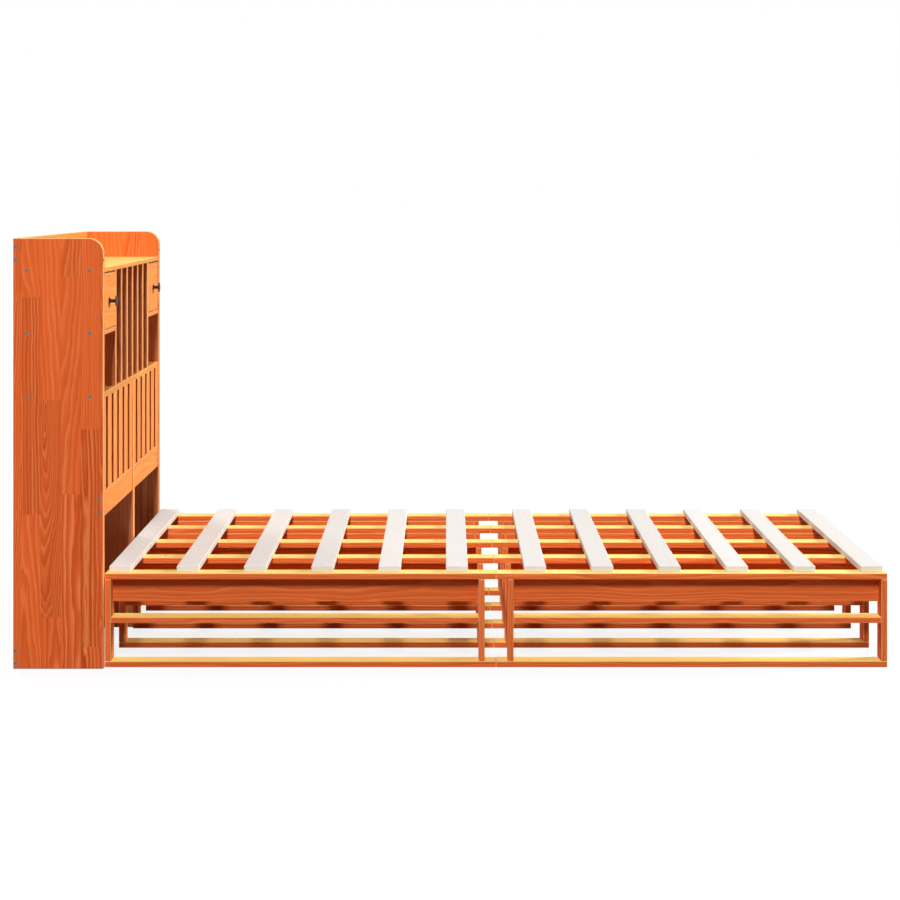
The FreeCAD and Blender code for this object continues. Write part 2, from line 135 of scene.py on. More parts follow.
class Signal:
    """A node socket in a material that can be used in arithmetic."""

    def __init__(self, shader: "Shader", socket: bpy.types.NodeSocket) -> None:
        """Wrap one output socket of a shader's node tree."""
        self.shader = shader
        self.socket = socket

    def _math(self, operation: str, first: Value, second: Value) -> "Signal":
        """One Math node on two values."""
        return self.shader.node("ShaderNodeMath", {"operation": operation}, {0: first, 1: second})

    def __add__(self, other: Value) -> "Signal":
        """self + other."""
        return self._math("ADD", self, other)

    def __radd__(self, other: Value) -> "Signal":
        """other + self."""
        return self._math("ADD", other, self)

    def __sub__(self, other: Value) -> "Signal":
        """self - other."""
        return self._math("SUBTRACT", self, other)

    def __rsub__(self, other: Value) -> "Signal":
        """other - self."""
        return self._math("SUBTRACT", other, self)

    def __mul__(self, other: Value) -> "Signal":
        """self * other."""
        return self._math("MULTIPLY", self, other)

    def __rmul__(self, other: Value) -> "Signal":
        """other * self."""
        return self._math("MULTIPLY", other, self)

    def __truediv__(self, other: Value) -> "Signal":
        """self / other."""
        return self._math("DIVIDE", self, other)

    def __rtruediv__(self, other: Value) -> "Signal":
        """other / self."""
        return self._math("DIVIDE", other, self)

    def __pow__(self, other: Value) -> "Signal":
        """self to the power of other."""
        return self._math("POWER", self, other)

    def __rpow__(self, other: Value) -> "Signal":
        """other to the power of self."""
        return self._math("POWER", other, self)

    def also(self, output: int | str) -> "Signal":
        """Another output of the same node, by name or number."""
        return Signal(self.shader, self.socket.node.outputs[output])

    def fraction(self) -> "Signal":
        """The part after the decimal point."""
        return self._math("FRACT", self, 0.0)

    def floor(self) -> "Signal":
        """The whole number below."""
        return self._math("FLOOR", self, 0.0)

    def size(self) -> "Signal":
        """The value without its sign."""
        return self._math("ABSOLUTE", self, 0.0)

    def greater(self, other: "Signal") -> "Signal":
        """The greater of two values."""
        return self._math("MAXIMUM", self, other)

    def centred(self) -> "Signal":
        """A value of 0 to 1 moved to between -0.5 and 0.5."""
        return self - 0.5

    def spread(self, low: float, high: float) -> "Signal":
        """A value of 0 to 1 spread between two limits."""
        return self * (high - low) + low

    def step(self, low: float, high: float) -> "Signal":
        """0 below low, 1 above high, and a smooth rise between them.

        Args:
            low: Where the rise starts.
            high: Where it ends. It may be less than low, which makes it a fall.

        Returns:
            The smooth step.
        """
        start, end = (0.0, 1.0) if low < high else (1.0, 0.0)
        return self.shader.node(
            "ShaderNodeMapRange", {"interpolation_type": "SMOOTHSTEP"},
            {0: self, 1: min(low, high), 2: max(low, high), 3: start, 4: end})


class Shader:
    """Builds the node tree of a material or of the world."""

    def __init__(self, owner: bpy.types.Material | bpy.types.World, output: str) -> None:
        """Start a tree that holds nothing but its output node.

        Args:
            owner: The material or the world.
            output: The output node's type.
        """
        owner.use_nodes = True
        self.owner = owner
        self.tree = owner.node_tree
        self.tree.nodes.clear()
        self.output = self.tree.nodes.new(output)

    @classmethod
    def of_material(cls, name: str) -> "Shader":
        """Start a new material."""
        return cls(bpy.data.materials.new(name), "ShaderNodeOutputMaterial")

    def node(self, kind: str, settings: dict | None = None, inputs: dict | None = None,
             output: int | str = 0) -> Signal:
        """Add any node.

        Args:
            kind: The node's type.
            settings: Its properties, set before its sockets.
            inputs: Values or signals, by socket name or number.
            output: The socket to return, by name or number.

        Returns:
            That output as a signal.
        """
        made = self.tree.nodes.new(kind)
        for key, value in (settings or {}).items():
            setattr(made, key, value)
        for key, value in (inputs or {}).items():
            if isinstance(value, Signal):
                self.tree.links.new(value.socket, made.inputs[key])
            else:
                made.inputs[key].default_value = value
        return Signal(self, made.outputs[output])

    def vector(self, operation: str, first: Signal | Point, second: Signal | Point) -> Signal:
        """One Vector Math node on two vectors."""
        return self.node("ShaderNodeVectorMath", {"operation": operation}, {0: first, 1: second})

    def combine(self, x: Value, y: Value, z: Value) -> Signal:
        """A vector from three values."""
        return self.node("ShaderNodeCombineXYZ", None, {0: x, 1: y, 2: z})

    def separate(self, vector: Signal) -> tuple[Signal, Signal, Signal]:
        """The three values of a vector."""
        first = self.node("ShaderNodeSeparateXYZ", None, {0: vector})
        return first, first.also(1), first.also(2)

    def noise(self, place: Signal, detail: float = 2.0, roughness: float = 0.5) -> Signal:
        """Perlin noise of about 0 to 1, one cell to a unit of the place."""
        return self.node("ShaderNodeTexNoise", None,
                         {"Vector": place, "Scale": 1.0, "Detail": detail, "Roughness": roughness})

    def chance(self, place: Signal) -> tuple[Signal, Signal, Signal]:
        """Three random values of 0 to 1 for each place, equal wherever the place is equal."""
        colour = self.node("ShaderNodeTexWhiteNoise", None, {"Vector": place}, output="Color")
        return self.separate(colour)

    def mix(self, factor: Value, first: Signal | Colour, second: Signal | Colour,
            blend: str = "MIX") -> Signal:
        """A colour mix.

        Args:
            factor: 0 for the first colour, 1 for the second.
            first: A colour or a signal.
            second: A colour or a signal.
            blend: The Mix node's blend type.

        Returns:
            The mixed colour.
        """
        def colour(value: Signal | Colour) -> Signal | tuple:
            """A signal as it is, or a colour with its alpha."""
            return value if isinstance(value, Signal) else (*value, 1.0)

        return self.node(
            "ShaderNodeMix", {"data_type": "RGBA", "blend_type": blend},
            {MIX_FACTOR: factor, MIX_FIRST: colour(first), MIX_SECOND: colour(second)},
            output=MIX_RESULT)

    def scaled(self, colour: Signal, value: Value) -> Signal:
        """A colour multiplied by one value, kept within white.

        Args:
            colour: The colour.
            value: The value.

        Returns:
            The product.
        """
        grey = self.node("ShaderNodeCombineColor", None, {0: value, 1: value, 2: value})
        product = self.mix(1.0, colour, grey, "MULTIPLY")
        product.socket.node.clamp_result = True
        return product

    def close(self, shader: Signal) -> None:
        """Link the finished shader to the output."""
        self.tree.links.new(shader.socket, self.output.inputs["Surface"])

    def surface(self, **sockets: object) -> bpy.types.Material:
        """Finish the material with one Principled BSDF.

        Args:
            sockets: Its inputs by name, with _ for each space.

        Returns:
            The material.
        """
        inputs = {key.replace("_", " "): value for key, value in sockets.items()}
        self.close(self.node("ShaderNodeBsdfPrincipled", None, inputs))
        return self.owner


# ---------------------------------------------------------------- finishes

@dataclass(frozen=True)
class GrainNoise:
    """A noise drawn out along the grain: cells per metre along and across it, and its fineness."""

    along: float
    across: float
    detail: float = 2.0
    roughness: float = 0.5
    offset: Point | None = None

    def at(self, shader: Shader, along: Signal, wide: Signal, thin: Signal) -> Signal:
        """The noise at a place in the wood.

        Args:
            shader: The material.
            along: Place along the grain.
            wide: Place across the board.
            thin: Place through its thickness.

        Returns:
            A value of about 0 to 1.
        """
        place = shader.combine(along * self.along, wide * self.across, thin * self.across)
        if self.offset:
            place = shader.vector("ADD", place, self.offset)
        return shader.noise(place, self.detail, self.roughness)


@dataclass(frozen=True)
class Stave:
    """The place within a stave of a glued board, from its pith, and how that stave looks."""

    wide: Signal
    thin: Signal
    tone: Signal
    contrast: Signal
    pitch: Signal
    seam: Signal


# Coordinates that keep each set of random values apart from the others.
ROW_CHANCE = (3.3, 0.7)
PITH_CHANCE = 5.1
LOOK_CHANCE = 9.4
RING_CHANCE = (1.7, 2.9)


@dataclass(frozen=True)
class PineFinish:
    """Pine whose growth rings are shells round a pith line that runs along each board.

    A face cut near the pith shows arches and a face further out shows straight streaks, and the
    ends show arcs. Wide boards are glued up from staves, each with finger joints along it and a
    pith of its own. Light and shade are painted into the colour: faces that lie up and those at
    the foot end get colours of their own as painted light or shade, faces towards the shelves
    are painted darker as painted shade, and edges turn pale, as stain worn off and as a painted
    highlight. A Span holds where a smooth step starts and ends, or two limits.
    """

    name: str
    slot: Slot
    early: Colour
    late: Colour
    # Foot and top colours: painted light or shade for how the light falls on faces towards the foot
    # end and faces that lie up.
    early_foot_painted_lighting: Colour
    late_foot_painted_lighting: Colour
    early_top_painted_lighting: Colour
    late_top_painted_lighting: Colour
    # The edge colour: stain worn off the edges and a painted highlight; it also tints the pale
    # streaks.
    edge: Colour
    knot: Colour

    # Painted shade on the faces towards the shelves below inside_below, and painted light lifting
    # them towards the foot colour above it.
    early_inside_painted_shade: Colour = (0.68, 0.24, 0.105)
    late_inside_painted_shade: Colour = (0.46, 0.13, 0.046)
    inside_below: float = 1.04
    inside_border: float = 0.002
    inside_painted_light_lift: float = 0.3
    # Smooth steps that pick the faces for the painted light and shade.
    facing: Span = (0.35, 0.9)
    facing_inside: Span = (0.5, 0.9)
    facing_end: Span = (0.7, 0.95)
    end_level: float = 0.8
    # How strongly the rounded edges turn pale: stain worn off them, and a painted highlight.
    edge_strength: float = 0.75
    edge_round: Span = (0.985, 0.88)

    stave_width: float = 0.052
    stave_length: float = 0.57
    stave_strength: float = 0.08
    stave_contrast: Span = (0.45, 1.25)
    stave_pitch: Span = (0.65, 1.55)
    row_stagger: float = 7.0
    tooth_pitch: float = 0.0038
    tooth_length: float = 0.011
    pith_reach: float = 2.6
    pith_aside: float = 0.8
    pith_depth: float = 0.11
    pith_tilt: float = 0.11
    seam_edge: Span = (0.489, 0.5)
    seam_depth: float = 0.22

    ring_pitch: float = 0.0066
    ring_strength: float = 0.9
    ring_raggedness: float = 1.1
    late_power: float = 1.2
    late_end: Span = (1.0, 0.86)
    late_depth: Span = (0.45, 1.0)
    streak_rise: Span = (0.0, 0.08)
    streak_fall: Span = (0.42, 0.12)
    streak_strength: float = 0.65
    streak_gain: float = 1.3
    streak_paleness: float = 0.38
    wander: float = 0.034
    drift: GrainNoise = GrainNoise(1.9, 5.0)
    sway: GrainNoise = GrainNoise(2.6, 6.0, offset=(7.0, 0.0, 3.0))
    ragged: GrainNoise = GrainNoise(6.0, 75.0, 3.0)

    knots_per_metre: float = 1.5
    knot_radius: float = 0.0040
    knot_rim: Span = (1.5, 0.6)
    knot_strength: float = 0.8
    knot_reach: float = 0.04
    knot_swell: float = 2.5

    fibre: GrainNoise = GrainNoise(11.0, 560.0, 3.0, 0.6)
    fibre_strength: float = 0.22
    cloud: GrainNoise = GrainNoise(2.2, 19.0)
    cloud_strength: float = 0.16
    bump_strength: float = 0.4
    bump_height: float = 0.0004
    roughness: float = 0.6
    fibre_roughness: float = 0.2
    late_smoothness: float = 0.08
    gloss: float = 0.06
    gloss_tint: Colour = (1.0, 0.55, 0.3)

    def material(self, cut: Cut, shift: Point = (0.0, 0.0, 0.0),
                 inside: float = 0.0) -> bpy.types.Material:
        """The finish for boards that lie one way.

        Args:
            cut: How the boards lie.
            shift: Moves the pattern, for a piece that has no grain_shift attribute.
            inside: The sign of the Y direction in which the faces towards the shelves look, or 0
                for none. Below the top shelf those faces get painted shade.

        Returns:
            The material.
        """
        shader = Shader.of_material(f"{self.name}_{cut.label}")
        place = shader.node("ShaderNodeTexCoord", output="Object")
        moved = shader.node("ShaderNodeAttribute", {"attribute_name": "grain_shift"},
                            output="Vector")
        axes = shader.separate(shader.vector("ADD", shader.vector("ADD", place, moved), shift))
        along, wide, thin = axes[cut.run.value], axes[cut.wide], axes[cut.thin]
        tone = shader.node("ShaderNodeAttribute", {"attribute_name": "tone"}, output="Fac") + 1.0

        stave = self._staves(shader, along, wide, thin) if cut.staved else None
        knot = self._knot_distance(shader, along, wide + thin)
        if stave:
            tone = tone + stave.tone
            late, streak = self._rings(shader, along, stave.wide, stave.thin, knot, stave.pitch)
            late, streak = late * stave.contrast, streak * stave.contrast
        else:
            late, streak = self._rings(shader, along, wide, thin, knot, self.ring_pitch)
        fibre = self.fibre.at(shader, along, wide, thin)
        cloud = self.cloud.at(shader, along, wide, thin)

        facing = shader.separate(shader.node("ShaderNodeNewGeometry", output="Normal"))
        # Early and late colours with light and shade painted in by the face's direction.
        light, dark = self._stain_and_painted_lighting(shader, place, facing, inside)
        colour = shader.mix(late * self.ring_strength, light, dark)
        bright = shader.scaled(light, self.streak_gain)
        pale = shader.mix(self.streak_paleness, bright, self.edge)
        colour = shader.mix(streak * self.streak_strength, colour, pale)
        # Pale edges: stain worn off the rounded edges, and a painted highlight along them.
        flatness = facing[0].size().greater(facing[1].size()).greater(facing[2].size())
        wear_and_highlight = flatness.step(*self.edge_round)
        colour = shader.mix(wear_and_highlight * self.edge_strength, colour, self.edge)
        core = knot.step(*(self.knot_radius * share for share in self.knot_rim))
        colour = shader.mix(core * self.knot_strength, colour, self.knot)

        end = facing[cut.run.value].size().step(*self.facing_end)
        level = (tone + fibre.centred() * self.fibre_strength
                 + cloud.centred() * self.cloud_strength)
        level = level * (1.0 - end * (1.0 - self.end_level))
        if stave:
            level = level * (1.0 - stave.seam * self.seam_depth)
        colour = shader.scaled(colour, level)

        relief = late * 0.5 + fibre * 0.5
        bump = shader.node("ShaderNodeBump", None, {
            "Strength": self.bump_strength, "Distance": self.bump_height, "Height": relief})
        rough = (fibre.centred() * self.fibre_roughness - late * self.late_smoothness
                 + self.roughness)
        return shader.surface(Base_Color=colour, Roughness=rough, Normal=bump,
                              Specular_IOR_Level=self.gloss,
                              Specular_Tint=(*self.gloss_tint, 1.0))

    def _stain_and_painted_lighting(self, shader: Shader, place: Signal, facing: tuple[Signal, Signal, Signal],
               inside: float) -> tuple[Signal, Signal]:
        """Early and late wood colours, with light and shade painted in by the face's direction.

        Args:
            shader: The material.
            place: Place on the object.
            facing: The face's normal.
            inside: As for the material.

        Returns:
            The early and the late colour.
        """
        early, late = self.early, self.late
        if inside:
            inner = (facing[1] * inside).step(*self.facing_inside)
            # Painted light: faces towards the shelves are lifted towards the foot colour.
            early = shader.mix(inner * self.inside_painted_light_lift, early, self.early_foot_painted_lighting)
            # Painted shade: below the top shelf those faces turn darker and browner.
            height = shader.separate(place)[2]
            inner = inner * height.step(self.inside_below, self.inside_below - self.inside_border)
            early = shader.mix(inner, early, self.early_inside_painted_shade)
            late = shader.mix(inner, late, self.late_inside_painted_shade)
        # Painted light and shade: faces that lie up and faces towards the foot end take their own
        # colours.
        up = facing[2].step(*self.facing)
        foot = facing[0].step(*self.facing)
        early = shader.mix(up, shader.mix(foot, early, self.early_foot_painted_lighting), self.early_top_painted_lighting)
        late = shader.mix(up, shader.mix(foot, late, self.late_foot_painted_lighting), self.late_top_painted_lighting)
        return early, late

    def _staves(self, shader: Shader, along: Signal, wide: Signal, thin: Signal) -> Stave:
        """Place in each stave of a glued board.

        Staves lie side by side, and each is a row of lengths joined end to end by finger joints,
        whose teeth are a triangle wave across the stave. Every length has a random pith beside it
        that tilts away along it.

        Args:
            shader: The material.
            along: Place along the grain.
            wide: Place across the board.
            thin: Place through its thickness, from its middle.

        Returns:
            The place and look of the stave there.
        """
        row = wide / self.stave_width
        number = row.floor()
        inside = row.fraction()
        offset = shader.chance(shader.combine(number, *ROW_CHANCE))[0]
        teeth = (wide / self.tooth_pitch).fraction().centred().size() * self.tooth_length
        column = (along + teeth) / self.stave_length + offset * self.row_stagger
        length = column.floor()
        first, second, third = shader.chance(shader.combine(number, length, PITH_CHANCE))
        middle = column.fraction().centred()
        tone, contrast, pitch = shader.chance(shader.combine(number, length, LOOK_CHANCE))
        depth = second.centred() * self.pith_depth
        return Stave(
            wide=(inside - first * self.pith_reach + self.pith_aside) * self.stave_width,
            thin=thin + depth + middle * third.centred() * self.pith_tilt,
            tone=tone.centred() * 2.0 * self.stave_strength,
            contrast=contrast.spread(*self.stave_contrast),
            pitch=pitch.spread(*self.stave_pitch) * self.ring_pitch,
            seam=inside.centred().size().step(*self.seam_edge),
        )

    def _knot_distance(self, shader: Shader, along: Signal, across: Signal) -> Signal:
        """Distance to the nearest of the sparse knots, which pass through the board.

        Args:
            shader: The material.
            along: Place along the grain.
            across: Places across and through the board, added up.

        Returns:
            The distance in metres.
        """
        place = shader.combine(along * self.knots_per_metre, across * self.knots_per_metre, 0.0)
        settings = {"voronoi_dimensions": "2D", "feature": "F1"}
        return shader.node("ShaderNodeTexVoronoi", settings, {"Vector": place, "Scale": 1.0},
                           output="Distance") / self.knots_per_metre

    def _rings(self, shader: Shader, along: Signal, wide: Signal, thin: Signal, knot: Signal,
               pitch: Value) -> tuple[Signal, Signal]:
        """How much dark late wood shows, and the pale line that follows it.

        The ring's number is the distance from the pith over the ring pitch. Within a ring the wood
        slowly darkens, and at its end it falls back at once to the palest line of the next. The
        pith wanders along the board, the rings swell round each knot, and every ring differs.

        Args:
            shader: The material.
            along: Place along the grain.
            wide: Distance from the pith across the board.
            thin: Distance from the pith through the board.
            knot: Distance to the nearest knot.
            pitch: Thickness of one ring.

        Returns:
            Masks of the dark wood and the pale line.
        """
        off_wide = wide + self.drift.at(shader, along, wide, thin).centred() * self.wander
        off_thin = thin + self.sway.at(shader, along, wide, thin).centred() * self.wander
        radius = (off_wide * off_wide + off_thin * off_thin) ** 0.5
        ragged = self.ragged.at(shader, along, wide, thin).centred() * self.ring_raggedness
        swell = knot.step(self.knot_reach, 0.0) * self.knot_swell
        phase = radius / pitch + ragged + swell
        saw = phase.fraction()
        first, second, _ = shader.chance(shader.combine(phase.floor(), *RING_CHANCE))
        late = (saw ** self.late_power) * saw.step(*self.late_end) * first.spread(*self.late_depth)
        streak = saw.step(*self.streak_rise) * saw.step(*self.streak_fall) * second
        return late, streak


@dataclass(frozen=True)
class MetalFinish:
    """Metal with a faintly mottled sheen."""

    name: str
    slot: Slot
    colour: Colour
    metallic: float
    roughness: float
    gloss: float = 0.5
    mottle_scale: float = 900.0
    mottle_strength: float = 0.5
    mottle_shade: float = 0.7
    mottle_roughness: float = 0.15
    bump_strength: float = 0.1
    bump_height: float = 0.0001

    def material(self) -> bpy.types.Material:
        """The finish, as a material.

        Returns:
            The material.
        """
        shader = Shader.of_material(self.name)
        place = shader.node("ShaderNodeTexCoord", output="Object")
        place = shader.vector("MULTIPLY", place, (self.mottle_scale,) * 3)
        mottle = shader.noise(place, 3.0, 0.6)
        shade = tuple(part * self.mottle_shade for part in self.colour)
        colour = shader.mix(mottle * self.mottle_strength, self.colour, shade)
        bump = shader.node("ShaderNodeBump", None, {
            "Strength": self.bump_strength, "Distance": self.bump_height, "Height": mottle})
        rough = self.roughness + mottle.centred() * self.mottle_roughness
        return shader.surface(Base_Color=colour, Roughness=rough, Metallic=self.metallic,
                              Normal=bump, Specular_IOR_Level=self.gloss)


# The headboard's outer boards and the drawers.
STAINED = PineFinish(
    name="stained_pine", slot=Slot.STAINED_PINE,
    early=(0.93, 0.163, 0.037), late=(0.46, 0.054, 0.011),
    # Foot and top colours: painted light. Edge colour: worn stain and a painted highlight.
    early_foot_painted_lighting=(0.97, 0.34, 0.072), late_foot_painted_lighting=(0.84, 0.22, 0.040),
    early_top_painted_lighting=(0.90, 0.54, 0.13), late_top_painted_lighting=(0.82, 0.40, 0.08),
    edge=(1.0, 0.56, 0.25), knot=(0.22, 0.04, 0.012),
)
# The frames under the slats.
STAINED_BASE = replace(
    STAINED, name="stained_pine_base",
    early=(0.94, 0.186, 0.047), late=(0.58, 0.086, 0.018),
    # Top colours: painted light; strong pale edges: worn stain and a painted highlight.
    early_top_painted_lighting=(0.94, 0.69, 0.20), late_top_painted_lighting=(0.91, 0.60, 0.15),
    edge=(1.0, 0.53, 0.21), edge_strength=0.95, ring_strength=0.75, streak_strength=0.6,
)
# Shelves and dividers within the headboard, painted browner and darker as painted shade.
STAINED_INNER_PAINTED_SHADE = replace(
    STAINED, name="stained_pine_inner",
    early=(0.80, 0.27, 0.115), late=(0.54, 0.14, 0.050),
    # Foot and top colours: painted light.
    early_foot_painted_lighting=(0.93, 0.33, 0.070), late_foot_painted_lighting=(0.80, 0.21, 0.040),
    early_top_painted_lighting=(0.93, 0.46, 0.13), late_top_painted_lighting=(0.86, 0.35, 0.08),
)
# The thin back panel, whose foot colours are painted darker as painted shade.
STAINED_BACK_PAINTED_SHADE = replace(
    STAINED_INNER_PAINTED_SHADE, name="stained_pine_back",
    early_foot_painted_lighting=(0.70, 0.26, 0.095), late_foot_painted_lighting=(0.52, 0.155, 0.048),
)
# The bare slats, whose foot and top colours are painted darker than their sides as painted shade.
PALE = PineFinish(
    name="pale_pine", slot=Slot.PALE_PINE,
    early=(0.86, 0.785, 0.715), late=(0.82, 0.73, 0.645),
    early_foot_painted_lighting=(0.80, 0.72, 0.63), late_foot_painted_lighting=(0.77, 0.66, 0.55),
    early_top_painted_lighting=(0.70, 0.665, 0.635), late_top_painted_lighting=(0.665, 0.62, 0.58),
    edge=(0.84, 0.78, 0.70), knot=(0.42, 0.30, 0.2),
    edge_strength=0.3, streak_strength=0.1, ring_strength=0.7, fibre_strength=0.07,
    cloud_strength=0.05, end_level=1.0, knot_radius=0.0028, knots_per_metre=4.5,
    roughness=0.65, gloss_tint=(1.0, 1.0, 1.0),
)
KNOB = MetalFinish("knob_dark_bronze", Slot.KNOB, (0.026, 0.011, 0.006),
                   metallic=0.1, roughness=0.5, gloss=0.28)
STEEL = MetalFinish("screw_zinc", Slot.STEEL, (0.21, 0.195, 0.175), metallic=0.4, roughness=0.5)


# ---------------------------------------------------------------- meshes

@dataclass
class Boards:
    """Straight boards of one node, all running the same way.

    low and high hold each board's corners, one row per board. steps counts the strips round a
    quarter turn of an edge. stave_shift and the fields after it limit the random draws.
    """

    low: np.ndarray
    high: np.ndarray
    run: Run
    staved_from: float = 0.085
    edge_radius: float = EDGE_RADIUS
    thin_share: float = 0.35
    steps: int = 3
    stave_shift: float = 4.0
    pith_depth: Span = (0.012, 0.06)
    pith_aside: float = 0.6
    log_shift: float = 9.0
    tone_spread: float = 0.05

    @property
    def cut(self) -> Cut:
        """How the boards lie, going by the first.

        Returns:
            The cut.
        """
        across = [axis for axis in range(3) if axis != self.run.value]
        size = (self.high - self.low)[0]
        wide = max(across, key=lambda axis: size[axis])
        return Cut(self.run, wide, bool(size[wide] >= self.staved_from))

    def vertices(self) -> np.ndarray:
        """Points of every board, as an array of board, point and coordinate.

        A board is a rectangle with round corners carried along its run. Near each end the
        rectangle shrinks as the cosine of an angle while its place follows the sine, which rounds
        the ends by the same radius. The last section at each end is only the four inner corners.

        Returns:
            The points.
        """
        run = self.run.value
        across = [(run + 1) % 3, (run + 2) % 3]
        half = (self.high - self.low) / 2
        middle = (self.high + self.low) / 2
        radius = self._radius()[:, None, None]
        turn = np.linspace(0, math.pi / 2, self.steps + 1)
        angle = (np.arange(4)[:, None] * math.pi / 2 + turn).ravel()
        unit = np.stack([np.cos(angle), np.sin(angle)], axis=1)
        corner = np.array([[1, 1], [-1, 1], [-1, -1], [1, -1]], float)
        corner_of_point = np.repeat(corner, self.steps + 1, axis=0)
        inner = half[:, None, across] - radius

        lift = np.concatenate([turn[1:] - math.pi / 2, turn[:-1]])
        end = np.repeat([-1.0, 1.0], self.steps)

        boards, points = len(self.low), len(angle)
        rings = np.empty((boards, 2 * self.steps, points, 3))
        section = inner * corner_of_point + middle[:, None, across]
        swell = radius[..., None] * np.cos(lift)[:, None, None] * unit
        rings[..., across] = section[:, None] + swell
        round_start = end * (half[:, run, None] - radius[:, 0])
        place = middle[:, run, None] + round_start + radius[:, 0] * np.sin(lift)
        rings[..., run] = place[:, :, None]

        caps = np.empty((boards, 2, 4, 3))
        caps[..., across] = (inner * corner + middle[:, None, across])[:, None]
        caps[..., run] = np.stack([self.low[:, run], self.high[:, run]], axis=1)[:, :, None]
        return np.concatenate([caps[:, 0], rings.reshape(boards, -1, 3), caps[:, 1]], axis=1)

    def faces(self) -> list[list[int]]:
        """Faces of every board.

        Rings of quads go round it, and triangles and quads join them to its two flat ends.

        Returns:
            The vertices of each face.
        """
        points = 4 * (self.steps + 1)
        ring_count = 2 * self.steps
        first, last = 4, 4 + (ring_count - 1) * points
        top = last + points
        index = np.arange(points)
        following = (index + 1) % points
        starts = 4 + points * np.arange(ring_count - 1)[:, None]
        sides = np.stack([starts + index, starts + following, starts + points + following,
                          starts + points + index], axis=-1).reshape(-1, 4)

        corner = index // (self.steps + 1)
        on_corner = index % (self.steps + 1) != self.steps
        own, here, ahead = corner[on_corner], index[on_corner], following[on_corner]
        triangles = np.concatenate([
            np.stack([own, first + ahead, first + here], axis=1),
            np.stack([last + here, last + ahead, top + own], axis=1),
        ])
        own, here, ahead = corner[~on_corner], index[~on_corner], following[~on_corner]
        beside = (own + 1) % 4
        quads = np.concatenate([
            sides,
            np.stack([own, beside, first + ahead, first + here], axis=1),
            np.stack([last + here, last + ahead, top + beside, top + own], axis=1),
            [[3, 2, 1, 0], [top, top + 1, top + 2, top + 3]],
        ])
        offsets = (top + 4) * np.arange(len(self.low))[:, None, None]
        return ((quads + offsets).reshape(-1, 4).tolist()
                + (triangles + offsets).reshape(-1, 3).tolist())

    def normals(self, vertices: np.ndarray) -> np.ndarray:
        """Shading directions that leave the flats flat and the edges round.

        Each is the direction from the nearest point of the board's box less its edge radius.

        Args:
            vertices: The points of every board.

        Returns:
            A unit vector for each point.
        """
        radius = self._radius()[:, None]
        inner = np.clip(vertices, (self.low + radius)[:, None], (self.high - radius)[:, None])
        outward = vertices - inner
        return outward / np.linalg.norm(outward, axis=-1, keepdims=True)

    def _radius(self) -> np.ndarray:
        """The edge radius, kept under half of a thin board's thickness."""
        return np.minimum(self.edge_radius, (self.high - self.low).min(axis=1) * self.thin_share)

    def piece(self, name: str, seed: str) -> bpy.types.Object:
        """The boards as one object, with the attributes that the pine finish reads.

        Args:
            name: The object's name.
            seed: Words that set the boards' random grain and tone.

        Returns:
            The object.
        """
        points = self.vertices()
        mesh = bpy.data.meshes.new(name)
        mesh.from_pydata(points.reshape(-1, 3).tolist(), [], self.faces())
        mesh.polygons.foreach_set("use_smooth", np.ones(len(mesh.polygons), bool))
        mesh.normals_split_custom_set_from_vertices(self.normals(points).reshape(-1, 3).tolist())

        shift, tone = self._grain(seed)
        count = points.shape[1]
        attribute = mesh.attributes.new("grain_shift", "FLOAT_VECTOR", "POINT")
        attribute.data.foreach_set("vector", np.repeat(shift, count, axis=0).ravel())
        attribute = mesh.attributes.new("tone", "FLOAT", "POINT")
        attribute.data.foreach_set("value", np.repeat(tone, count))
        mesh.update()
        piece = bpy.data.objects.new(name, mesh)
        bpy.context.scene.collection.objects.link(piece)
        return piece

    def _grain(self, seed: str) -> tuple[np.ndarray, np.ndarray]:
        """Where each board was cut from its log, and how light it came out.

        The pith lies off the board's middle plane by the pith depth, on either side, and off the
        middle of its width by up to a share of that width. A staved board is only moved along the
        pattern and across it.

        Args:
            seed: Words that set the random draws.

        Returns:
            A shift of the pattern and a tone for each board.
        """
        random = np.random.default_rng(zlib.crc32(seed.encode()))
        boards = len(self.low)
        cut = self.cut
        size = self.high - self.low
        shift = -(self.low + self.high) / 2
        if cut.staved:
            shift[:, cut.wide] += random.uniform(-self.stave_shift, self.stave_shift, boards)
        else:
            depth = random.uniform(*self.pith_depth, boards)
            shift[:, cut.thin] += depth * random.choice([-1.0, 1.0], boards)
            aside = random.uniform(-self.pith_aside, self.pith_aside, boards)
            shift[:, cut.wide] += aside * size[:, cut.wide]
        shift[:, self.run.value] += random.uniform(-self.log_shift, self.log_shift, boards)
        return shift, random.uniform(-self.tone_spread, self.tone_spread, boards)


